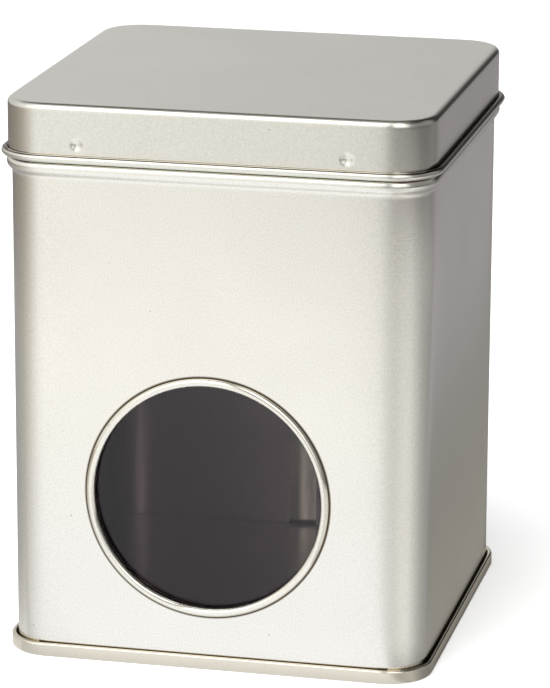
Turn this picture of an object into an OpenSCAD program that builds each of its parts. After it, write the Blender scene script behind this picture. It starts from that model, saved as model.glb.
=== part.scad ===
/* [Body] */
// Width and depth over the straight walls
body_w = 100; // [90:1:115]
// Outside radius of the upright corners
corner_r = 9.5; // [8.5:0.5:12]
// Height from the table to the body's rim under the lid
body_h = 133.3; // [125:0.1:160]
// Thickness of the tinplate
sheet = 0.3; // [0.25:0.05:0.3]
// Diameter of the inward curl along the body's rim
rim_curl_d = 1.8; // [1.6:0.1:2.2]

/* [Stop bead] */
// Depth of the bead's crest below the middle of the lid's curl
bead_drop = 2.6; // [2.4:0.1:6]
// How far the crest stands out from the wall, a quarter of the bead's height
bead_out = 1.25; // [1:0.05:1.25]
// Outside radius of the crest
bead_r = 1.9; // [1.5:0.05:2]

/* [Lid] */
// Height of the lid from the middle of its curl to its top face
lid_h = 12.7; // [12.4:0.1:14]
// Outside radius of the edge between the top and the skirt
lid_edge_r = 1.6; // [1:0.1:2.5]
// Diameter of the outward curl along the skirt
lid_curl_d = 1.85; // [1.6:0.05:2]
// Space between the skirt and the body's wall
lid_gap = 0.4; // [0.35:0.05:0.6]
// Space between the lid's top and the body's rim
lid_top_gap = 0.4; // [0.3:0.1:0.6]

/* [Grip dimples] */
// Distance between the two dimples on one side
dimple_spacing = 63.2; // [50:0.1:66]
// Depth of the dimples below the top of the lid
dimple_drop = 9.3; // [7:0.1:10]
// Width of a dimple
dimple_w = 3.6; // [3:0.1:4]
// Depth of a dimple
dimple_in = 0.3; // [0.2:0.05:0.3]

/* [Window] */
// Clear width of the window
window_d = 54.1; // [45:0.1:58]
// Height of the window's middle above the table
window_z = 42; // [40:0.1:70]
// Sideways place of the window's middle, from the middle of the front
window_x = -1; // [-5:0.5:5]
// Width of the eyelet's rounded lip
lip_w = 2; // [1.4:0.1:2.4]
// Thickness of the eyelet's sheet
eyelet_t = 0.3; // [0.25:0.05:0.35]
// Depth of the pane behind the wall's outer face
pane_in = 1.4; // [1.2:0.1:2]
// Thickness of the clear pane
pane_t = 0.5; // [0.3:0.1:0.8]
// Width of the flared end that the pane lies against
flare_w = 1.9; // [1.5:0.1:2.5]
// Width of the retaining ring's flange on the wall
foot_w = 2.4; // [2:0.1:3]
// Space round the barrel and round the pane
window_gap = 0.1; // [0.1:0.05:0.2]

/* [Base] */
// Height of the rolled rim round the base
seam_h = 3.3; // [3:0.1:3.6]
// How far the rolled rim stands out from the wall
seam_out = 1.15; // [1.15:0.05:1.3]
// Outside radius of the rim's lower edges
foot_r = 0.5; // [0.4:0.05:0.55]
// Height of the base panel's top face above the table
panel_z = 4.5; // [4.3:0.1:6]
// Inside radius between the base panel and its upright edge
panel_r = 0.8; // [0.6:0.1:1.2]
// Height of the wall's flange inside the rolled rim
hook_h = 1.9; // [1.6:0.1:2]
// Space between the layers of the rolled rim
seam_gap = 0.05; // [0.05:0.01:0.06]

/* [Side seam] */
// Width of the locked seam at the back
lock_w = 4.5; // [3.5:0.1:6]
// Layers of sheet inside the wall at the locked seam
lock_layers = 2; // [1:1:2]
// Width of the fine groove beside the locked seam
groove_w = 0.35; // [0.25:0.05:0.5]
// Depth of that groove
groove_in = 0.12; // [0.08:0.01:0.15]

/* [Hidden] */
$fn = 96;
overlap = 0.02;

half = body_w / 2;
straight = body_w - 2 * corner_r;

rim_r = rim_curl_d / 2;
rim_mid = body_h - rim_r;
curl_sweep = 280;

lid_top = body_h + lid_top_gap + sheet;
lid_curl_z = lid_top - lid_h;
lid_face = lid_gap + sheet;
lid_curl_r = lid_curl_d / 2;
lid_curl_x = lid_gap + lid_curl_r;
lid_half = half + lid_face;
lid_curl_sweep = 300;

bead_z = lid_curl_z - bead_drop;
bead_half = 2 * bead_out;
bead_turn = 2 * atan(bead_out / bead_half);
bead_blend_r = bead_half / sin(bead_turn) - bead_r;
groove_top = bead_z - bead_half - sheet;
groove_low = seam_h + sheet;

dimple_r = (pow(dimple_w / 2, 2) + pow(dimple_in, 2)) / (2 * dimple_in);
dimple_z = lid_top - dimple_drop;

clear_r = window_d / 2;
lip_r = lip_w / 2;
barrel_r = clear_r + eyelet_t;
hole_r = barrel_r + window_gap;
flare_bend = 0.2;
flare_r = barrel_r + flare_w;
pane_r = flare_r;
ring_in_r = pane_r + window_gap;
ring_out_r = ring_in_r + eyelet_t;
ring_back = pane_in + pane_t + eyelet_t;
ring_lip_r = clear_r + eyelet_t;

hook_bend = seam_gap + sheet / 2;
hook_z = sheet + seam_gap + sheet + hook_bend;
chuck_x = -sheet - seam_gap;
loop_out = (seam_out - seam_gap) / 2;
loop_x = seam_gap + loop_out;
loop_z = seam_h - loop_out;
cover_hook_z = hook_z + seam_gap;
panel_blend = panel_r + sheet;

// A rounded square plate, with its upright edge set out from the wall's outer face by grow.
module plate(grow, low, high) {
    r = corner_r + grow;
    w = body_w + 2 * grow;
    translate([0, 0, low])
        linear_extrude(high - low) {
            square([w, w - 2 * r], center = true);
            square([w - 2 * r, w], center = true);
            for (x = [-1, 1], y = [-1, 1])
                translate([x * straight / 2, y * straight / 2])
                    circle(r);
        }
}

// Carries a profile round the body: x is measured out from the wall's outer face and y is the height.
module around() {
    for (turn = [0:3])
        rotate([0, 0, 90 * turn]) {
            translate([straight / 2, straight / 2, 0])
                rotate_extrude(angle = 90)
                    translate([corner_r, 0])
                        children();
            translate([half, straight / 2, 0])
                rotate([90, 0, 0])
                    linear_extrude(straight)
                        children();
        }
}

// A bend of sheet from one angle to another, seen in section.
module bend(x, y, inner, outer, from, to) {
    steps = ceil((to - from) / 60);
    reach = 3 * outer;
    translate([x, y])
        intersection() {
            difference() {
                circle(outer);
                circle(inner);
            }
            polygon(concat(
                [[0, 0]],
                [for (i = [0:steps]) let (a = from + (to - from) * i / steps) reach * [cos(a), sin(a)]]
            ));
        }
}

// A straight stretch of sheet in section, between two corners.
module run(x0, y0, x1, y1) {
    translate([x0, y0])
        square([x1 - x0, y1 - y0]);
}

// The upright wall in section, from deep inside its outer face out to near it.
module wall_profile(deep, near, low, high) {
    run(-deep, low, -near, bead_z - bead_half);
    bend(bead_blend_r, bead_z - bead_half, bead_blend_r + near, bead_blend_r + deep, 180 - bead_turn, 180);
    bend(bead_out - bead_r, bead_z, bead_r - deep, bead_r - near, -bead_turn, bead_turn);
    bend(bead_blend_r, bead_z + bead_half, bead_blend_r + near, bead_blend_r + deep, 180, 180 + bead_turn);
    run(-deep, bead_z + bead_half, -near, high);
}

// Turns a section drawn in radius and depth so that it stands round the window's axis.
module window_turn() {
    translate([window_x, -half, window_z])
        rotate([-90, 0, 0])
            rotate_extrude()
                children();
}

module body_sections() {
    wall_profile(sheet, 0, hook_z, rim_mid);
    bend(-rim_r, rim_mid, rim_r - sheet, rim_r, 0, curl_sweep);
    bend(hook_bend, hook_z, hook_bend, hook_bend + sheet, 180, 360);
    run(2 * hook_bend, hook_z, 2 * hook_bend + sheet, hook_z + hook_h - sheet);
}

module lock_seam() {
    translate([-lock_w / 2, half, 0])
        rotate([90, 0, 90])
            linear_extrude(lock_w)
                wall_profile(sheet * (1 + lock_layers), sheet / 2, panel_z + seam_gap, rim_mid - rim_curl_d);
}

module body_shell() {
    color([0.86, 0.85, 0.8])
        difference() {
            union() {
                around()
                    body_sections();
                lock_seam();
            }
            translate([window_x, -half, window_z])
                rotate([90, 0, 0])
                    cylinder(h = 4 * bead_r, r = hole_r, center = true);
            translate([-lock_w / 2 - groove_w, half - groove_in, groove_low])
                cube([groove_w, 2 * groove_in, groove_top - groove_low]);
        }
}

module base_panel() {
    color([0.84, 0.83, 0.78]) {
        around() {
            run(chuck_x - sheet, foot_r, chuck_x, panel_z - panel_blend);
            bend(chuck_x - panel_blend, panel_z - panel_blend, panel_r, panel_blend, 0, 90);
            bend(chuck_x - sheet + foot_r, foot_r, foot_r - sheet, foot_r, 180, 270);
            run(chuck_x - sheet + foot_r, 0, seam_out - foot_r, sheet);
            bend(seam_out - foot_r, foot_r, foot_r - sheet, foot_r, 270, 360);
            run(seam_out - sheet, foot_r, seam_out, loop_z);
            bend(loop_x, loop_z, loop_out - sheet, loop_out, 0, 180);
            run(seam_gap, cover_hook_z, seam_gap + sheet, loop_z);
        }
        plate(chuck_x - panel_blend, panel_z - sheet, panel_z);
    }
}

module dimple_places() {
    for (turn = [0, 180], side = [-1, 1])
        rotate([0, 0, turn])
            translate([side * dimple_spacing / 2, -lid_half, dimple_z])
                children();
}

// The ball of a dimple, kept to what lies deeper than start below the skirt's face.
module dimple_ball(r, start) {
    intersection() {
        translate([0, dimple_in - dimple_r, 0])
            sphere(r);
        translate([0, start, 0])
            rotate([-90, 0, 0])
                cylinder(h = dimple_w, r = dimple_w);
    }
}

module lid() {
    color([0.85, 0.84, 0.8])
        difference() {
            union() {
                plate(lid_face - lid_edge_r, lid_top - sheet, lid_top);
                around() {
                    bend(lid_face - lid_edge_r, lid_top - lid_edge_r, lid_edge_r - sheet, lid_edge_r, 0, 90);
                    run(lid_gap, lid_curl_z, lid_face, lid_top - lid_edge_r);
                    bend(lid_curl_x, lid_curl_z, lid_curl_r - sheet, lid_curl_r, 180, 180 + lid_curl_sweep);
                }
                dimple_places()
                    dimple_ball(dimple_r + sheet, sheet / 2);
            }
            dimple_places()
                dimple_ball(dimple_r, -overlap);
        }
}

module window_bezel() {
    color([0.88, 0.87, 0.82])
        window_turn() {
            bend(clear_r + lip_r, 0, lip_r - eyelet_t, lip_r, 180, 360);
            run(clear_r, 0, barrel_r, pane_in - eyelet_t - flare_bend);
            bend(barrel_r + flare_bend, pane_in - eyelet_t - flare_bend, flare_bend, flare_bend + eyelet_t, 90, 180);
            run(barrel_r + flare_bend, pane_in - eyelet_t, flare_r, pane_in);
        }
}

module window_pane() {
    color([0.9, 0.93, 0.95, 0.3])
        window_turn()
            run(0, pane_in, pane_r, pane_in + pane_t);
}

module window_retaining_ring() {
    color([0.8, 0.79, 0.75])
        window_turn() {
            run(ring_lip_r, ring_back - eyelet_t, ring_out_r, ring_back);
            run(ring_in_r, sheet, ring_out_r, ring_back);
            run(ring_in_r, sheet, ring_out_r + foot_w, sheet + eyelet_t);
        }
}

body_shell();
base_panel();
lid();
window_bezel();
window_pane();
window_retaining_ring();
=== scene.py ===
from math import atan, cos, degrees, pi, radians, sin

import bmesh
import bpy
from mathutils import Matrix, Vector


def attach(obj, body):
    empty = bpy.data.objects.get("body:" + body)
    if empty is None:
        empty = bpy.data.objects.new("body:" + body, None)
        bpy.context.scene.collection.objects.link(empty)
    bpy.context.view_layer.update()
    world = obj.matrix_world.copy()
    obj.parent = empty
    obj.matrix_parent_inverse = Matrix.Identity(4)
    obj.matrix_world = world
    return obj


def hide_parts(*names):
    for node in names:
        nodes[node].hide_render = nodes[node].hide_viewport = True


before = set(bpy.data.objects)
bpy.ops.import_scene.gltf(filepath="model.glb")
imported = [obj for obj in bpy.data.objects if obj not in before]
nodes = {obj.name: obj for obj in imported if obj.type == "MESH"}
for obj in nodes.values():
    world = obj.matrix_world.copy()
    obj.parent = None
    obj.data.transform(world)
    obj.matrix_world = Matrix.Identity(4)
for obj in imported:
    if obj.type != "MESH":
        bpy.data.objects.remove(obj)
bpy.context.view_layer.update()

mm = 0.001
weldGap = 0.001  # Points of one piece nearer than this many millimetres are merged
cutGap = 0.0001  # Points this near a cutting plane count as on it
sharpAngle = radians(38)  # Folds sharper than this keep a crisp edge
levelFrom = 0.5  # A face whose normal rises or falls more than this counts as lying level
scene = bpy.context.scene
scene.view_settings.view_transform = "Standard"


def arc(x, z, radius, start, end, steps):
    # Points of a bend in section, angles in degrees
    turns = [radians(start + (end - start) * i / steps) for i in range(steps + 1)]
    return [(x + radius * cos(a), z + radius * sin(a)) for a in turns]


def roundedRing(bm, size):
    # Plan of the tin as one closed line: a corner is spun, a wall is drawn out, four times
    reach = size["width"] / 2 - size["cornerR"]
    vert = bm.verts.new((size["width"] / 2, reach, 0))
    for quarter in range(4):
        turn = Matrix.Rotation(radians(90 * quarter), 3, "Z")
        spun = bmesh.ops.spin(
            bm, geom=[vert], cent=turn @ Vector((reach, reach, 0)), axis=(0, 0, 1),
            angle=pi / 2, steps=size["cornerSteps"],
        )
        vert = next(g for g in spun["geom_last"] if isinstance(g, bmesh.types.BMVert))
        stops = size["wallStops"] + [-s for s in reversed(size["wallStops"])]
        places = [reach - s if s > 0 else -reach - s for s in stops] + [-reach]
        for place in places:
            vert = bmesh.ops.extrude_vert_indiv(bm, verts=[vert])["verts"][0]
            vert.co = turn @ Vector((place, size["width"] / 2, 0))
    bmesh.ops.remove_doubles(bm, verts=bm.verts, dist=weldGap)


def bowWalls(bm, size):
    # Each wall draws in a little towards its corners, then the line is evened out
    reach = size["width"] / 2 - size["cornerR"]
    pulls = {}
    for v in bm.verts:
        share = [min(1, max(0, 1 + (abs(v.co[1 - axis]) - reach) / size["bowLength"])) for axis in (0, 1)]
        pulls[v] = [size["bow"] * share[axis] ** 2 if abs(v.co[axis]) > reach else 0 for axis in (0, 1)]
    for v, pull in pulls.items():
        for axis in (0, 1):
            v.co[axis] -= pull[axis] if v.co[axis] > 0 else -pull[axis]
    for _ in range(size["softening"]):
        bmesh.ops.smooth_vert(bm, verts=bm.verts, factor=0.5, use_axis_x=True, use_axis_y=True)


def raiseProfile(bm, profile):
    # Draws the plan line up through the section: x is measured out from the plan line
    home = bm.verts.layers.float_vector.new("home")
    out = bm.verts.layers.float_vector.new("out")
    for v in bm.verts:
        along = [e.other_vert(v).co - v.co for e in v.link_edges]
        tangent = (along[0].normalized() - along[1].normalized()).normalized()
        side = Vector((tangent.y, -tangent.x, 0))
        if side.dot(v.co) < 0:
            side.negate()
        v[home] = v.co
        v[out] = side
    for v in bm.verts:
        v.co = v[home] + v[out] * profile[0][0] + Vector((0, 0, profile[0][1]))
    first = list(bm.edges)
    edges = first
    for x, z in profile[1:]:
        grown = bmesh.ops.extrude_edge_only(bm, edges=edges)["geom"]
        edges = [g for g in grown if isinstance(g, bmesh.types.BMEdge)]
        for v in [g for g in grown if isinstance(g, bmesh.types.BMVert)]:
            v.co = v[home] + v[out] * x + Vector((0, 0, z))
    return first


def faceOut(bm):
    # All faces outwards, judged on the largest face
    bmesh.ops.recalc_face_normals(bm, faces=bm.faces)
    bm.normal_update()
    largest = max(bm.faces, key=lambda f: f.calc_area())
    middle = largest.calc_center_median()
    flat = Vector((middle.x, middle.y, 0)) if abs(largest.normal.z) < levelFrom else middle
    if largest.normal.dot(flat) < 0:
        bmesh.ops.reverse_faces(bm, faces=bm.faces)


def cutAcross(bm, faces, place, normal):
    # Adds the line where a plane crosses these faces
    parts = set(faces) | {e for f in faces for e in f.edges} | {v for f in faces for v in f.verts}
    bmesh.ops.bisect_plane(bm, geom=list(parts), plane_co=place, plane_no=normal, dist=cutGap)


def shadeSmooth(bm):
    for f in bm.faces:
        f.smooth = True
    for e in bm.edges:
        e.smooth = len(e.link_faces) < 2 or e.calc_face_angle(0) < sharpAngle


def finishMesh(bm, name, material):
    # Millimetres to metres, and a named piece with its finish
    bmesh.ops.scale(bm, vec=(mm, mm, mm), verts=bm.verts)
    shadeSmooth(bm)
    mesh = bpy.data.meshes.new(name)
    bm.to_mesh(mesh)
    bm.free()
    mesh.materials.append(material)
    piece = bpy.data.objects.new(name, mesh)
    scene.collection.objects.link(piece)
    return piece


def applyModifiers(piece):
    graph = bpy.context.evaluated_depsgraph_get()
    mesh = bpy.data.meshes.new_from_object(piece.evaluated_get(graph))
    piece.modifiers.clear()
    piece.data = mesh


def thicken(piece, thickness):
    wall = piece.modifiers.new("sheet", "SOLIDIFY")
    wall.thickness = thickness * mm
    wall.offset = -1
    wall.use_even_offset = True
    wall.use_quality_normals = True
    applyModifiers(piece)


def sharpen(piece):
    bm = bmesh.new()
    bm.from_mesh(piece.data)
    bmesh.ops.remove_doubles(bm, verts=bm.verts, dist=2 * weldGap * mm)
    shadeSmooth(bm)
    bm.to_mesh(piece.data)
    bm.free()


def newMaterial(name):
    material = bpy.data.materials.new(name)
    material.use_nodes = True
    tree = material.node_tree
    return material, tree, tree.nodes["Principled BSDF"]


def addNode(tree, kind, **values):
    node = tree.nodes.new(kind)
    for key, value in values.items():
        setattr(node, key, value)
    return node


def feed(tree, slot, value):
    # A socket is linked, a number or a colour is set
    if isinstance(value, bpy.types.NodeSocket):
        tree.links.new(value, slot)
    elif value is not None:
        slot.default_value = value


def colourOf(value):
    # One number stands for a grey, and a socket is passed on
    if isinstance(value, (int, float)):
        value = (value, value, value)
    return (*value, 1) if isinstance(value, tuple) else value


def maths(tree, operation, first, second=None, third=None):
    node = addNode(tree, "ShaderNodeMath", operation=operation)
    for slot, value in zip(node.inputs, (first, second, third)):
        feed(tree, slot, value)
    return node.outputs[0]


def distance(tree, x, y):
    squares = [maths(tree, "POWER", side, 2) for side in (x, y)]
    return maths(tree, "SQRT", maths(tree, "ADD", *squares))


def mapRange(tree, value, low=0, high=1, toLow=0, toHigh=1, kind="LINEAR"):
    node = addNode(tree, "ShaderNodeMapRange", interpolation_type=kind)
    for name, number in (("From Min", low), ("From Max", high), ("To Min", toLow), ("To Max", toHigh)):
        node.inputs[name].default_value = number
    feed(tree, node.inputs["Value"], value)
    return node.outputs[0]


def smoothStep(tree, value, low, high):
    return mapRange(tree, value, low, high, kind="SMOOTHSTEP")


def ramp(tree, source, stops):
    node = addNode(tree, "ShaderNodeValToRGB")
    marks = node.color_ramp.elements
    while len(marks) < len(stops):
        marks.new(0.5)
    for mark, (place, colour) in zip(marks, stops):
        mark.position = place
        mark.color = colourOf(colour)
    feed(tree, node.inputs["Fac"], source)
    return node.outputs["Color"]


def mixColours(tree, share, first, second, blend="MIX"):
    # In a colour mix, sockets 6 and 7 are the two colours and 2 is the result
    node = addNode(tree, "ShaderNodeMix", data_type="RGBA", blend_type=blend)
    feed(tree, node.inputs["Factor"], share)
    feed(tree, node.inputs[6], colourOf(first))
    feed(tree, node.inputs[7], colourOf(second))
    return node.outputs[2]


def mixShaders(tree, share, first, second):
    node = addNode(tree, "ShaderNodeMixShader")
    for slot, value in zip(node.inputs, (share, first, second)):
        feed(tree, slot, value)
    return node.outputs[0]


def scaleColour(tree, colour, share):
    node = addNode(tree, "ShaderNodeVectorMath", operation="MULTIPLY")
    feed(tree, node.inputs[0], colour)
    feed(tree, node.inputs[1], colourOf(share)[:3])
    return node.outputs[0]


def coordinates(tree, output="Object"):
    parts = addNode(tree, "ShaderNodeSeparateXYZ")
    feed(tree, parts.inputs[0], addNode(tree, "ShaderNodeTexCoord").outputs[output])
    return [parts.outputs[axis] for axis in "XYZ"]


def addNoise(tree, place, scale, detail, warp=0):
    node = addNode(tree, "ShaderNodeTexNoise")
    for name, value in (("Vector", place), ("Scale", scale), ("Detail", detail), ("Distortion", warp)):
        feed(tree, node.inputs[name], value)
    return node.outputs["Fac"]


rolling = {
    "values": {
        "Line Pitch": 4200, "Line Length": 90, "Smudge Scale": 28, "Speck Scale": 210, "Grain Scale": 2300,
    },
    "lyingFrom": 0.7, "lineDetail": 3, "smudgeDetail": 4, "smudgeWarp": 0.6, "grainDetail": 2,
    "speckSize": 0.045, "speckRarity": 0.8,
}


def makeRollingGrain(size):
    # Fine lines left by the rolling mill, soft smudges from handling, the tin's grain and a few specks
    group = bpy.data.node_groups.new("rollingGrain", "ShaderNodeTree")
    for name, value in size["values"].items():
        socket = group.interface.new_socket(name, in_out="INPUT", socket_type="NodeSocketFloat")
        socket.default_value = value
    for name in ("Lines", "Smudge", "Speck", "Grain"):
        group.interface.new_socket(name, in_out="OUTPUT", socket_type="NodeSocketFloat")
    given = addNode(group, "NodeGroupInput").outputs
    made = addNode(group, "NodeGroupOutput").inputs
    place = addNode(group, "ShaderNodeTexCoord").outputs["Object"]
    # On upright walls the lines run level; on flat faces they run from side to side
    tilt = addNode(group, "ShaderNodeSeparateXYZ")
    feed(group, tilt.inputs[0], addNode(group, "ShaderNodeNewGeometry").outputs["Normal"])
    lying = maths(group, "GREATER_THAN", maths(group, "ABSOLUTE", tilt.outputs["Z"]), size["lyingFrom"])
    pick = addNode(group, "ShaderNodeMix", data_type="VECTOR")
    feed(group, pick.inputs["Factor"], lying)
    # In a vector mix, sockets 4 and 5 are the two vectors and 1 is the result
    for slot, across in ((4, "Z"), (5, "Y")):
        stretch = addNode(group, "ShaderNodeCombineXYZ")
        for axis in "XYZ":
            feed(group, stretch.inputs[axis], given["Line Pitch" if axis == across else "Line Length"])
        feed(group, pick.inputs[slot], stretch.outputs[0])
    scaled = addNode(group, "ShaderNodeVectorMath", operation="MULTIPLY")
    feed(group, scaled.inputs[0], place)
    feed(group, scaled.inputs[1], pick.outputs[1])
    feed(group, made["Lines"], addNoise(group, scaled.outputs[0], 1, size["lineDetail"]))
    smudge = addNoise(group, place, given["Smudge Scale"], size["smudgeDetail"], size["smudgeWarp"])
    feed(group, made["Smudge"], smudge)
    feed(group, made["Grain"], addNoise(group, place, given["Grain Scale"], size["grainDetail"]))
    dots = addNode(group, "ShaderNodeTexVoronoi")
    feed(group, dots.inputs["Vector"], place)
    feed(group, dots.inputs["Scale"], given["Speck Scale"])
    tone = addNode(group, "ShaderNodeSeparateColor")
    feed(group, tone.inputs[0], dots.outputs["Color"])
    near = maths(group, "LESS_THAN", dots.outputs["Distance"], size["speckSize"])
    rare = maths(group, "GREATER_THAN", tone.outputs["Red"], size["speckRarity"])
    feed(group, made["Speck"], maths(group, "MULTIPLY", near, rare))
    return group


rollingGrain = makeRollingGrain(rolling)


def makeTinplate(name, finish):
    material, tree, shader = newMaterial(name)
    shader.inputs["Metallic"].default_value = 1
    grain = addNode(tree, "ShaderNodeGroup", node_tree=rollingGrain)
    grain.inputs["Line Pitch"].default_value = finish["linePitch"]
    grain.inputs["Line Length"].default_value = finish["lineLength"]
    lines, smudge, speck, crystals = (grain.outputs[part] for part in ("Lines", "Smudge", "Speck", "Grain"))
    low, high = finish["smudgeSpan"]
    touched = tuple(c * finish["smudgeTone"] for c in finish["colour"])
    colour = mixColours(tree, ramp(tree, smudge, ((low, 0), (high, 1))), finish["colour"], touched)
    colour = mixColours(tree, maths(tree, "MULTIPLY", speck, finish["specks"]), colour, finish["speckColour"])
    low, high = finish["grainSpan"]
    mottle = ramp(tree, crystals, ((low, finish["grainTone"]), (high, 1)))
    feed(tree, shader.inputs["Base Color"], mixColours(tree, 1, colour, mottle, "MULTIPLY"))
    rough, spread = finish["roughness"], finish["roughSpread"]
    worn = mapRange(tree, smudge, toLow=rough - spread, toHigh=rough + spread)
    feed(tree, shader.inputs["Roughness"], worn)
    normal = None
    for height, depth in ((lines, finish["lineDepth"]), (crystals, finish["grainDepth"])):
        bump = addNode(tree, "ShaderNodeBump")
        bump.inputs["Strength"].default_value = finish["lineStrength"]
        bump.inputs["Distance"].default_value = depth
        feed(tree, bump.inputs["Height"], height)
        feed(tree, bump.inputs["Normal"], normal)
        normal = bump.outputs[0]
    feed(tree, shader.inputs["Normal"], normal)
    return material


bodyFinish = {
    "colour": (0.87, 0.842, 0.765), "roughness": 0.22, "roughSpread": 0.03,
    "smudgeTone": 0.97, "smudgeSpan": (0.35, 0.7),
    "linePitch": 4200, "lineLength": 70, "lineStrength": 0.25, "lineDepth": 0.00001,
    "grainTone": 0.9, "grainSpan": (0.3, 0.7), "grainDepth": 0.000005,
    "specks": 0.5, "speckColour": (0.25, 0.23, 0.2),
}
lidFinish = dict(bodyFinish, colour=(0.8, 0.782, 0.7), roughness=0.24, specks=0.8)
rimFinish = dict(bodyFinish, colour=(0.77, 0.71, 0.59), roughness=0.2, lineStrength=0.1, grainTone=0.96)
bezelFinish = dict(bodyFinish, colour=(0.87, 0.835, 0.735), roughness=0.16, lineStrength=0.1)
ringFinish = dict(bodyFinish, colour=(0.78, 0.75, 0.68), roughness=0.3)
# Darker copy of the tinplate for the inside faces: painted shade for the dim hollow
shadedInsideFinish = dict(bodyFinish, colour=(0.42, 0.33, 0.35), roughness=0.5, lineStrength=0.1)
# Near-black painted shade for the inside of the eyelet's barrel
shadedBarrelFinish = dict(bodyFinish, colour=(0.07, 0.055, 0.05), roughness=0.4)
# Lighter copy of the tinplate for the seam inside: painted highlight
litSeamFinish = dict(bodyFinish, colour=(0.98, 0.92, 0.78), roughness=0.42, lineStrength=0.1)

bodyTinplate = makeTinplate("bodyTinplate", bodyFinish)
lidTinplate = makeTinplate("lidTinplate", lidFinish)
rimTinplate = makeTinplate("rimTinplate", rimFinish)
bezelTinplate = makeTinplate("bezelTinplate", bezelFinish)
ringTinplate = makeTinplate("ringTinplate", ringFinish)
shadedInsideTinplate = makeTinplate("shadedInsideTinplate", shadedInsideFinish)
shadedBarrelTinplate = makeTinplate("shadedBarrelTinplate", shadedBarrelFinish)
litSeamTinplate = makeTinplate("litSeamTinplate", litSeamFinish)

pane = {"colour": (0.96, 0.97, 0.97), "index": 1.29, "roughness": 0.02}


def makeClearPane(size):
    material, _, shader = newMaterial("clearPane")
    shader.inputs["Base Color"].default_value = colourOf(size["colour"])
    shader.inputs["Transmission Weight"].default_value = 1
    shader.inputs["IOR"].default_value = size["index"]
    shader.inputs["Roughness"].default_value = size["roughness"]
    return material


clearPane = makeClearPane(pane)
print("materials made")


def overlay(material, mask, colour):
    # Another colour over the finish where the mask is 1
    tree = material.node_tree
    base = tree.nodes["Principled BSDF"].inputs["Base Color"]
    feed(tree, base, mixColours(tree, mask, base.links[0].from_socket, colour))


def paintFootShade(material, size):
    # Painted shade: the dark line where a wall goes down behind a rolled edge, wider on the sides
    tree = material.node_tree
    x, _, z = coordinates(tree)
    side = smoothStep(tree, maths(tree, "ABSOLUTE", x), size["sideFrom"] * mm, size["sideTo"] * mm)
    height = maths(tree, "SUBTRACT", z, maths(tree, "MULTIPLY", side, size["sideRise"] * mm))
    line = smoothStep(tree, height, size["clear"] * mm, size["dark"] * mm)
    above = maths(tree, "GREATER_THAN", z, size["low"] * mm)
    overlay(material, maths(tree, "MULTIPLY", line, above), size["colour"])


# Heights in millimetres; the slack lets faces pass that look straight up or down
insideShade = {"slack": 0.1, "rimZ": 126, "lidTopZ": 130, "panelZ": 4.2}


def paintInsideShade(piece, reach):
    # Faces that look into the hollow get painted shade, a darker copy of the tinplate, but not the top of the
    # rolled rim
    piece.data.materials.append(shadedInsideTinplate)
    for face in piece.data.polygons:
        middle = face.center / mm
        inward = face.normal.dot(Vector((middle.x, middle.y, 0))) < insideShade["slack"]
        hidden = face.normal.z < levelFrom or middle.z < insideShade["rimZ"]
        if inward and hidden and max(abs(middle.x), abs(middle.y)) < reach:
            face.material_index = 1


# Plan shared by the body and the lid; all pieces of the tin are in millimetres
tin = {
    "width": 100, "cornerR": 9.5, "cornerSteps": 24, "sheet": 0.3,
    "wallStops": [0.7, 1.5, 2.4, 3.5, 4.8, 6.4, 8.4, 11, 14.5, 20, 28, 36],
}
body = {
    **tin, "bow": 0.22, "bowLength": 11, "softening": 10,
    "hookZ": 0.85, "hookR": 0.2, "hookTop": 2.45,
    "wallRows": [2.5, 4, 6, 12, 30, 60, 90, 108, 113], "neckRow": 125,
    "beadZ": 118.7, "beadOut": 1.25, "beadR": 1.9, "beadEase": 0.6, "beadSteps": 20,
    "rimZ": 132.4, "rimR": 0.9, "rimSweep": 280, "rimEase": 1, "rimSteps": 28, "bendSteps": 8,
    "windowX": -1, "windowZ": 42, "windowR": 27.45, "windowSteps": 192, "cutterDeep": 12,
    "grooveX": -2.425, "grooveW": 0.35, "grooveIn": 0.12, "grooveLow": 3.6, "grooveTop": 115.9,
    "grooveNear": 12, "backFrom": 0.9, "insideShadeReach": -0.2,
}


def bodyProfile(size):
    beadHalf = 2 * size["beadOut"]
    beadTurn = degrees(2 * atan(size["beadOut"] / beadHalf))
    blendR = beadHalf / sin(radians(beadTurn)) - size["beadR"]
    low, high = size["beadZ"] - beadHalf, size["beadZ"] + beadHalf
    steps, ease = size["bendSteps"], size["beadEase"]
    points = [(2 * size["hookR"], size["hookTop"])]
    points += arc(size["hookR"], size["hookZ"], size["hookR"], 0, -180, steps)
    points += [(0, z) for z in size["wallRows"] + [low - ease]]
    points += arc(blendR, low, blendR, 180, 180 - beadTurn, steps)
    beadX = size["beadOut"] - size["beadR"]
    points += arc(beadX, size["beadZ"], size["beadR"], -beadTurn, beadTurn, size["beadSteps"])[1:]
    points += arc(blendR, high, blendR, 180 + beadTurn, 180, steps)[1:]
    points += [(0, z) for z in (high + ease, size["neckRow"], size["rimZ"] - size["rimEase"])]
    points += arc(-size["rimR"], size["rimZ"], size["rimR"], 0, size["rimSweep"], size["rimSteps"])
    return points


def pressGroove(bm, size):
    # Fine groove beside the locked seam at the back
    half = size["grooveW"] / 2
    for step in (-2, -1, 0, 1, 2):
        back = [
            f for f in bm.faces
            if f.normal.y > size["backFrom"] and abs(f.calc_center_median().x) < size["grooveNear"]
        ]
        cutAcross(bm, back, (size["grooveX"] + step * half, 0, 0), (1, 0, 0))
    for v in bm.verts:
        away = abs(v.co.x - size["grooveX"])
        if v.co.y > 0 and away < half / 2 and size["grooveLow"] < v.co.z < size["grooveTop"]:
            v.co.y -= size["grooveIn"]


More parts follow.
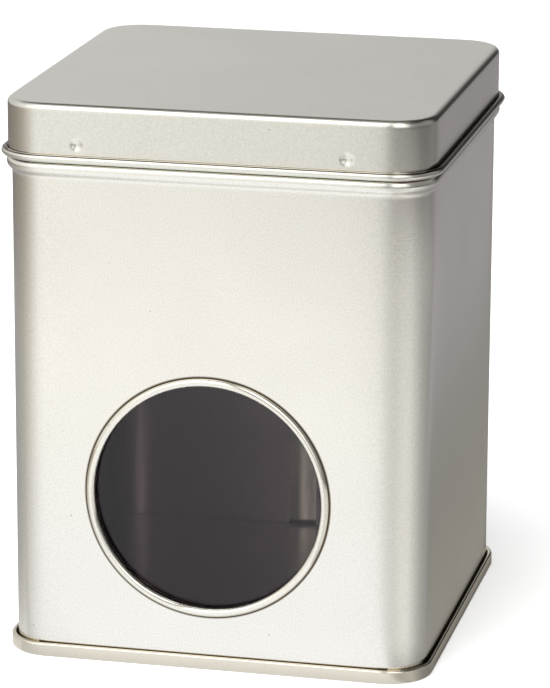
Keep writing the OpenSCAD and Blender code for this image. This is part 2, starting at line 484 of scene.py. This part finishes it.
def cutWindow(piece, size):
    place = Matrix.Translation((size["windowX"], -size["width"] / 2, size["windowZ"]))
    cutter = bmesh.new()
    bmesh.ops.create_cone(
        cutter, segments=size["windowSteps"], radius1=size["windowR"], radius2=size["windowR"],
        depth=size["cutterDeep"], cap_ends=True, matrix=place @ Matrix.Rotation(pi / 2, 4, "X"),
    )
    cutterPiece = finishMesh(cutter, "window_cutter", bodyTinplate)
    hole = piece.modifiers.new("window", "BOOLEAN")
    hole.operation = "DIFFERENCE"
    hole.solver = "EXACT"
    hole.object = cutterPiece
    applyModifiers(piece)
    bpy.data.objects.remove(cutterPiece)


def makeBodyWall(size):
    bm = bmesh.new()
    roundedRing(bm, size)
    bowWalls(bm, size)
    raiseProfile(bm, bodyProfile(size))
    faceOut(bm)
    pressGroove(bm, size)
    piece = finishMesh(bm, "tin_wall", bodyTinplate)
    thicken(piece, size["sheet"])
    cutWindow(piece, size)
    sharpen(piece)
    paintInsideShade(piece, size["width"] / 2 + size["insideShadeReach"])
    return piece


tinWall = makeBodyWall(body)
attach(tinWall, "body")
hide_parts("body_shell")

# Painted shade along the foot of the body wall, just above the base's rolled rim
bodyFootShade = {
    "low": 0, "dark": 3.4, "clear": 3.7, "sideFrom": 48, "sideTo": 50, "sideRise": 0.5,
    "colour": (0.1, 0.075, 0.045),
}
paintFootShade(bodyTinplate, bodyFootShade)
print("body wall made")

lockSeam = {"width": 9, "layers": 0.6, "low": 4.6, "high": 130.6, "steps": 16, "sheet": 0.05, "sunk": 0.12}


def makeLockSeam(size):
    bm = bmesh.new()
    rows = [p for p in bodyProfile(body) if p[0] >= 0 and size["low"] < p[1] < size["high"]]
    inner = body["width"] / 2 - body["sheet"]
    line = [(0, size["low"])] + rows + [(0, size["high"])]
    verts = [bm.verts.new((-size["width"] / 2, inner + x, z)) for x, z in line]
    edges = [bm.edges.new(pair) for pair in zip(verts, verts[1:])]
    for _ in range(size["steps"]):
        grown = bmesh.ops.extrude_edge_only(bm, edges=edges)["geom"]
        edges = [g for g in grown if isinstance(g, bmesh.types.BMEdge)]
        moved = [g for g in grown if isinstance(g, bmesh.types.BMVert)]
        bmesh.ops.translate(bm, verts=moved, vec=(size["width"] / size["steps"], 0, 0))
    # The folded layers stand proud in the middle and fade out to both sides
    for v in bm.verts:
        v.co.y += size["sunk"] - size["layers"] * cos(v.co.x / size["width"] * pi) ** 2
    bmesh.ops.recalc_face_normals(bm, faces=bm.faces)
    bm.normal_update()
    if next(iter(bm.faces)).normal.y > 0:
        bmesh.ops.reverse_faces(bm, faces=bm.faces)
    # The seam gets the lighter finish: painted highlight
    piece = finishMesh(bm, "locked_seam", litSeamTinplate)
    wall = piece.modifiers.new("layers", "SOLIDIFY")
    wall.thickness = size["sheet"] * mm
    wall.offset = 1
    applyModifiers(piece)
    return piece


lockedSeam = makeLockSeam(lockSeam)
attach(lockedSeam, "body")
print("locked seam made")

lid = {
    **tin, "bow": 0.08, "bowLength": 6, "softening": 5,
    "top": 134.0, "face": 0.7, "edgeR": 1.6, "edgeSteps": 14, "topInset": 4, "topEase": 0.8,
    "skirtRows": [131.8, 129.5, 127, 124.5, 122.6, 121.7], "skirtLow": 121.8, "skirtHigh": 131,
    "curlX": 1.325, "curlZ": 121.3, "curlR": 0.625, "curlSweep": 300, "curlSteps": 30,
    "dimpleSpacing": 63.2, "dimpleZ": 124.7, "dimpleR": 1.65, "dimpleIn": 0.42, "dimpleFall": 1.5,
    "dimpleCuts": 14, "dimpleSpread": 1.15, "dimpleNear": 12, "wallFrom": 45, "frontFrom": 0.95,
    "insideShadeReach": 0.45,
}


def lidProfile(size):
    edgeX = size["face"] - size["edgeR"]
    points = [(edgeX - size["topInset"], size["top"]), (edgeX - size["topEase"], size["top"])]
    points += arc(edgeX, size["top"] - size["edgeR"], size["edgeR"], 90, 0, size["edgeSteps"])
    points += [(size["face"], z) for z in size["skirtRows"]]
    curlEnd = 180 + size["curlSweep"]
    points += arc(size["curlX"], size["curlZ"], size["curlR"], 180, curlEnd, size["curlSteps"])
    return points


def pressDimple(bm, size, side, middle):
    # The skirt gets a fine net of cuts round the dimple, then the ball is pressed in softly
    spread = size["dimpleR"] * size["dimpleSpread"]
    cuts = [spread * (2 * i / size["dimpleCuts"] - 1) for i in range(size["dimpleCuts"] + 1)]
    planes = [((middle + c, 0, 0), (1, 0, 0)) for c in cuts]
    planes += [((0, 0, size["dimpleZ"] + c), (0, 0, 1)) for c in cuts]
    for place, normal in planes:
        near = [
            f for f in bm.faces
            if f.normal.y * side > size["frontFrom"]
            and size["skirtLow"] < f.calc_center_median().z < size["skirtHigh"]
            and abs(f.calc_center_median().x - middle) < size["dimpleNear"]
        ]
        cutAcross(bm, near, place, normal)
    for v in bm.verts:
        away = Vector((v.co.x - middle, v.co.z - size["dimpleZ"])).length / size["dimpleR"]
        if v.co.y * side >= size["wallFrom"] and away < 1:
            v.co.y -= side * size["dimpleIn"] * (1 - away ** 2) ** size["dimpleFall"]


def makeLid(size):
    bm = bmesh.new()
    roundedRing(bm, size)
    bowWalls(bm, size)
    topEdge = raiseProfile(bm, lidProfile(size))
    bmesh.ops.contextual_create(bm, geom=topEdge)
    faceOut(bm)
    for side in (-1, 1):
        for middle in (-size["dimpleSpacing"] / 2, size["dimpleSpacing"] / 2):
            pressDimple(bm, size, side, middle)
    piece = finishMesh(bm, "slip_lid", lidTinplate)
    thicken(piece, size["sheet"])
    sharpen(piece)
    paintInsideShade(piece, size["width"] / 2 + size["insideShadeReach"])
    # The underside of the lid's top gets the painted shade too
    for face in piece.data.polygons:
        if face.normal.z < -levelFrom and face.center.z > insideShade["lidTopZ"] * mm:
            face.material_index = 1
    return piece


slipLid = makeLid(lid)
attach(slipLid, "lid")
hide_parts("lid")

# Painted shade in the groove where the lid's skirt meets its curl
skirtFootShade = {
    "low": 121.93, "dark": 122.0, "clear": 122.3, "sideFrom": 48.6, "sideTo": 50.4, "sideRise": 0.9,
    "colour": (0.1, 0.075, 0.05),
}
paintFootShade(lidTinplate, skirtFootShade)
print("lid made")

eyelet = {
    "clearR": 27.05, "lipR": 1.0, "lipEnd": 350, "lipSteps": 20, "sheet": 0.3,
    "barrelDeep": 0.9, "bendR": 0.5, "bendSteps": 6, "flareR": 29.25, "around": 160, "barrelFrom": 0.05,
}


def makeEyelet(size):
    # Section in distance from the window's axis and depth behind the wall's face, turned all round
    bm = bmesh.new()
    points = arc(size["clearR"] + size["lipR"], 0, size["lipR"], size["lipEnd"], 180, size["lipSteps"])
    bendX = size["clearR"] + size["bendR"]
    points += arc(bendX, size["barrelDeep"], size["bendR"], 180, 90, size["bendSteps"])
    points += [(size["flareR"], size["barrelDeep"] + size["bendR"])]
    verts = [bm.verts.new((away, deep, 0)) for away, deep in points]
    edges = [bm.edges.new(pair) for pair in zip(verts, verts[1:])]
    bmesh.ops.spin(
        bm, geom=verts + edges, cent=(0, 0, 0), axis=(0, 1, 0), angle=2 * pi,
        steps=size["around"], use_merge=True,
    )
    bmesh.ops.recalc_face_normals(bm, faces=bm.faces)
    bm.normal_update()
    foremost = min(bm.faces, key=lambda f: f.calc_center_median().y)
    if foremost.normal.y > 0:
        bmesh.ops.reverse_faces(bm, faces=bm.faces)
    bmesh.ops.translate(bm, verts=bm.verts, vec=(body["windowX"], -body["width"] / 2, body["windowZ"]))
    piece = finishMesh(bm, "window_eyelet", bezelTinplate)
    thicken(piece, size["sheet"])
    sharpen(piece)
    # Faces behind the wall's face get painted shade: the dark crescent inside the lip
    piece.data.materials.append(shadedBarrelTinplate)
    for face in piece.data.polygons:
        if face.center.y > (size["barrelFrom"] - body["width"] / 2) * mm:
            face.material_index = 1
    return piece


windowEyelet = makeEyelet(eyelet)
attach(windowEyelet, "body")
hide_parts("window_bezel")

creviceShade = {
    "under": 0.2, "beyond": 0.6, "deep": 1, "colour": (0.08, 0.06, 0.035),
    "stops": ((0, 0), (0.15, 1), (0.55, 1), (1, 0)),
}


def paintCreviceShade(material, size):
    # Painted shade: the dark line where the eyelet's lip is pressed on the wall
    tree = material.node_tree
    x, y, z = coordinates(tree)
    across = maths(tree, "SUBTRACT", x, body["windowX"] * mm)
    up = maths(tree, "SUBTRACT", z, body["windowZ"] * mm)
    lipEdge = eyelet["clearR"] + 2 * eyelet["lipR"]
    low, high = (lipEdge - size["under"]) * mm, (lipEdge + size["beyond"]) * mm
    line = ramp(tree, mapRange(tree, distance(tree, across, up), low, high), size["stops"])
    front = maths(tree, "LESS_THAN", y, (size["deep"] - body["width"] / 2) * mm)
    overlay(material, maths(tree, "MULTIPLY", line, front), size["colour"])


paintCreviceShade(bodyTinplate, creviceShade)
print("eyelet made")

# The other CAD pieces stay as they are and get their finishes
for name, material in (
    ("base_panel", rimTinplate), ("window_pane", clearPane), ("window_retaining_ring", ringTinplate),
):
    nodes[name].data.materials.clear()
    nodes[name].data.materials.append(material)


def paintPanelTopShade(material):
    # The top side of the base panel gets the same painted shade as the inside of the wall
    tree = material.node_tree
    top = maths(tree, "GREATER_THAN", coordinates(tree)[2], insideShade["panelZ"] * mm)
    overlay(material, top, shadedInsideFinish["colour"])


paintPanelTopShade(rimTinplate)
print("base, pane and ring finished")

# Tones that the metal reflects, by degrees round the tin: 0 is the front, right is positive
leftFloor = (
    (-180, 0.34), (-130, 0.36), (-100, 0.42), (-80, (0.52, 0.51, 0.48)), (-65, (0.67, 0.65, 0.61)),
    (-55, (0.81, 0.79, 0.75)), (-45, 0.95), (-36, 1.08), (-28, 1.16), (20, 1.16), (180, 0.95),
)
leftFloorFar = (
    (-180, 0.25), (-130, (0.26, 0.23, 0.21)), (-100, (0.29, 0.26, 0.23)), (-80, (0.35, 0.32, 0.29)),
    (-65, (0.44, 0.4, 0.36)), (-55, (0.56, 0.52, 0.48)), (-45, (0.69, 0.66, 0.62)), (-36, 0.86), (-28, 1.0),
    (-15, 1.0), (-7, 0.93), (20, 0.9), (180, 0.9),
)
# The same by degrees round the tin's front right corner
rightFloor = (
    (-180, 0.28), (-110, 0.38), (-20, 0.7), (6, 0.7), (25, 0.72), (45, 0.8), (66, 0.82), (80, 0.7),
    (95, 0.57), (112, 0.44), (135, 0.35), (180, 0.28),
)
rightFloorFar = (
    (-180, 0.2), (-20, 0.2), (20, (0.2, 0.193, 0.186)), (60, (0.125, 0.12, 0.114)), (83, 0.09), (100, 0.12),
    (125, 0.22), (180, 0.2),
)
# Where the white sheet ends, from 0 on the sheet to 1 on the dim floor
sheetEnd = (
    (-180, 1), (-150, 1), (-112, 0), (-13.5, 0), (-11, 0.12), (-9.5, 0.28), (-6.5, 0.5), (3, 0.78), (20, 1),
    (180, 1),
)
roomLow = (
    (-180, 0.5), (-176, (0.52, 0.505, 0.52)), (-170, (0.62, 0.605, 0.62)), (-163, (0.72, 0.705, 0.715)),
    (-140, 0.68), (-110, 0.75), (-70, 0.95), (-45, 1.1), (-7, 1.15), (-1, 0.35), (7, 0.35), (14, 1.15),
    (42, 1.05), (56, 0.3), (80, 0.25), (125, 0.3), (142, 0.03), (170, 0.03), (175, 0.4), (180, 0.5),
)
roomMiddle = (
    (-180, 0.5), (-170, 0.62), (-140, 0.68), (-110, 0.75), (-70, 1.0), (-45, 1.6), (-25, 2.3), (-7, 2.3),
    (-1, 0.35), (7, 0.35), (14, 2.3), (42, 1.7), (56, 0.3), (80, 0.25), (125, 0.3), (142, 0.03), (170, 0.03),
    (180, 0.5),
)
roomHigh = (
    (-180, 0.08), (-130, 0.1), (-100, 0.6), (-70, 1.0), (-45, 1.6), (-25, 2.3), (-7, 2.3),
    (-1, 0.35), (7, 0.35), (14, 2.3), (42, 1.7), (56, 0.3), (80, 0.06), (150, 0.03), (180, 0.08),
)

# Lengths of the studio are in metres, distances from the tin's middle unless they say otherwise
floorPlan = {
    "size": 6.0, "colour": (0.9, 0.9, 0.9), "lift": 0.3, "whiteFrom": 0.7, "whiteTo": 1.6,
    "corner": 0.047,
}
whiteSheet = {
    "farFrom": 0.36, "farTo": 0.52,
    "coolFrom": 0.1, "coolTo": 0.32, "coolTint": (0.97, 0.99, 1.04),
    "brightFrom": 0.8, "brightTo": 1.5, "brighter": 1.3,
    "frontFrom": 0.049, "contactFrom": 0.0505, "contactTo": 0.062, "contactTone": 0.8,
}
rightSide = {
    "wall": 0.05, "farFrom": 0.425, "farTo": 0.45, "gapFrom": 0.0005, "gapTo": 0.003, "gapTone": 0.04,
    "rampScale": 2,  # Places in the two ramps are metres times this
    "fromCorner": (
        (0.02, 0.75), (0.05, 1.15), (0.24, 1.1), (0.56, 1.04), (0.66, 1.1), (0.76, 1.36), (0.86, 1.45),
    ),
    "fromWall": (
        (0, (0.34, 0.325, 0.3)), (0.016, (0.32, 0.31, 0.285)), (0.054, (0.265, 0.255, 0.235)),
        (0.09, (0.28, 0.275, 0.275)), (0.128, (0.35, 0.34, 0.36)), (0.16, (0.52, 0.5, 0.56)),
        (0.18, (0.5, 0.48, 0.53)), (0.2, (0.31, 0.285, 0.3)), (0.6, 0.28), (1, 0.22),
    ),
    "alongWall": ((-180, 0), (148, 0), (164, 1), (180, 1)),
}


def roundRamp(tree, x, y, stops):
    # A ramp by the compass angle, 0 at the front
    angle = maths(tree, "ARCTAN2", x, maths(tree, "MULTIPLY", y, -1))
    share = maths(tree, "MULTIPLY_ADD", angle, 0.5 / pi, 0.5)
    return ramp(tree, share, [((a + 180) / 360, value) for a, value in stops])


def seenFloor(tree, size, away):
    # What the camera sees: pale and matt with the tin's soft shadow, far off plain white like the background
    matt = addNode(tree, "ShaderNodeBsdfDiffuse")
    matt.inputs["Color"].default_value = colourOf(size["colour"])
    lift = addNode(tree, "ShaderNodeEmission")
    lift.inputs["Strength"].default_value = size["lift"]
    near = addNode(tree, "ShaderNodeAddShader")
    feed(tree, near.inputs[0], matt.outputs[0])
    feed(tree, near.inputs[1], lift.outputs[0])
    white = addNode(tree, "ShaderNodeEmission").outputs[0]
    far = smoothStep(tree, away, size["whiteFrom"], size["whiteTo"])
    return mixShaders(tree, far, near.outputs[0], white)


def sheetTone(tree, size, x, y, away):
    # The white sheet left and in front of the tin, with a soft contact shadow along the front
    far = smoothStep(tree, away, size["farFrom"], size["farTo"])
    tone = mixColours(tree, far, roundRamp(tree, x, y, leftFloor), roundRamp(tree, x, y, leftFloorFar))
    warm = smoothStep(tree, away, size["coolFrom"], size["coolTo"])
    tone = mixColours(tree, warm, scaleColour(tree, tone, size["coolTint"]), tone)
    bright = smoothStep(tree, away, size["brightFrom"], size["brightTo"])
    tone = mixColours(tree, bright, tone, scaleColour(tree, tone, size["brighter"]))
    clear = smoothStep(tree, maths(tree, "MULTIPLY", y, -1), size["contactFrom"], size["contactTo"])
    contact = mixColours(tree, clear, scaleColour(tree, tone, size["contactTone"]), tone)
    return mixColours(tree, maths(tree, "LESS_THAN", y, -size["frontFrom"]), tone, contact)


def rightTone(tree, size, x, fromX, fromY):
    # The dim floor right of the sheet: outwards from the corner, and along the right wall
    reach = distance(tree, fromX, fromY)
    fade = ramp(tree, maths(tree, "MULTIPLY", reach, size["rampScale"]), size["fromCorner"])
    around = mixColours(tree, 1, roundRamp(tree, fromX, fromY, rightFloor), fade, "MULTIPLY")
    far = smoothStep(tree, reach, size["farFrom"], size["farTo"])
    outwards = mixColours(tree, far, around, roundRamp(tree, fromX, fromY, rightFloorFar))
    # Right at the wall the reflected floor turns almost black: painted contact shadow
    gap = maths(tree, "SUBTRACT", x, size["wall"])
    side = ramp(tree, maths(tree, "MULTIPLY", gap, size["rampScale"]), size["fromWall"])
    side = mixColours(tree, smoothStep(tree, gap, size["gapFrom"], size["gapTo"]), size["gapTone"], side)
    return mixColours(tree, roundRamp(tree, fromX, fromY, size["alongWall"]), outwards, side)


def makeFloor(size):
    bm = bmesh.new()
    bmesh.ops.create_grid(bm, x_segments=1, y_segments=1, size=size["size"] / 2)
    mesh = bpy.data.meshes.new("floor")
    bm.to_mesh(mesh)
    bm.free()
    floor = bpy.data.objects.new("floor", mesh)
    scene.collection.objects.link(floor)
    material = bpy.data.materials.new("paleFloor")
    mesh.materials.append(material)
    material.use_nodes = True
    tree = material.node_tree
    tree.nodes.clear()
    x, y, _ = coordinates(tree)
    away = distance(tree, x, y)
    fromX, fromY = maths(tree, "SUBTRACT", x, size["corner"]), maths(tree, "ADD", y, size["corner"])
    sheet = sheetTone(tree, whiteSheet, x, y, away)
    right = rightTone(tree, rightSide, x, fromX, fromY)
    glow = addNode(tree, "ShaderNodeEmission")
    feed(tree, glow.inputs["Color"], mixColours(tree, roundRamp(tree, fromX, fromY, sheetEnd), sheet, right))
    path = addNode(tree, "ShaderNodeLightPath").outputs
    mirrored = maths(tree, "MAXIMUM", path["Is Glossy Ray"], path["Is Transmission Ray"])
    out = addNode(tree, "ShaderNodeOutputMaterial")
    seen = seenFloor(tree, size, away)
    feed(tree, out.inputs["Surface"], mixShaders(tree, mirrored, seen, glow.outputs[0]))


makeFloor(floorPlan)

# The room's upper bands take over between these heights in degrees
roomBands = ((16, 21, roomMiddle), (38, 50, roomHigh), (64, 78, ((-180, 0.32), (180, 0.32))))


def makeWorld(bands):
    world = bpy.data.worlds.new("studioWorld")
    scene.world = world
    world.use_nodes = True
    tree = world.node_tree
    tree.nodes.clear()
    x, y, height = coordinates(tree, "Generated")
    tone = roundRamp(tree, x, y, roomLow)
    for low, high, stops in bands:
        share = smoothStep(tree, height, sin(radians(low)), sin(radians(high)))
        tone = mixColours(tree, share, tone, roundRamp(tree, x, y, stops))
    room = addNode(tree, "ShaderNodeBackground")
    feed(tree, room.inputs["Color"], tone)
    white = addNode(tree, "ShaderNodeBackground").outputs[0]
    seen = addNode(tree, "ShaderNodeLightPath").outputs["Is Camera Ray"]
    out = addNode(tree, "ShaderNodeOutputWorld")
    feed(tree, out.inputs["Surface"], mixShaders(tree, seen, room.outputs[0], white))


makeWorld(roomBands)

softbox = {"size": 0.9, "place": (-0.15, -0.5, 1.1), "aim": (0, 0, 0.05), "power": 14}


def makeLamp(size):
    lamp = bpy.data.lights.new("softbox", "AREA")
    lamp.shape = "SQUARE"
    lamp.size = size["size"]
    lamp.energy = size["power"]
    holder = bpy.data.objects.new("softbox", lamp)
    holder.location = size["place"]
    aim = Vector(size["aim"]) - Vector(size["place"])
    holder.rotation_euler = aim.to_track_quat("-Z", "Y").to_euler()
    holder.visible_camera = False
    holder.visible_glossy = False
    scene.collection.objects.link(holder)


makeLamp(softbox)
print("studio made")

view = {
    "place": (0.20474, -0.88342, 0.31570), "azimuth": 12.822, "elevation": 15.392, "roll": 0.271,
    "lens": 202.19, "sensor": 36, "nearest": 0.01, "farthest": 50,
}


def makeCamera(size):
    camera = bpy.data.cameras.new("camera")
    camera.sensor_width = size["sensor"]
    camera.lens = size["lens"]
    camera.clip_start = size["nearest"]
    camera.clip_end = size["farthest"]
    holder = bpy.data.objects.new("camera", camera)
    turn = Matrix.Rotation(radians(size["azimuth"]), 3, "Z")
    turn = turn @ Matrix.Rotation(radians(90 - size["elevation"]), 3, "X")
    turn = turn @ Matrix.Rotation(radians(size["roll"]), 3, "Z")
    holder.location = size["place"]
    holder.rotation_euler = turn.to_euler()
    scene.collection.objects.link(holder)
    scene.camera = holder


makeCamera(view)
print("camera placed")
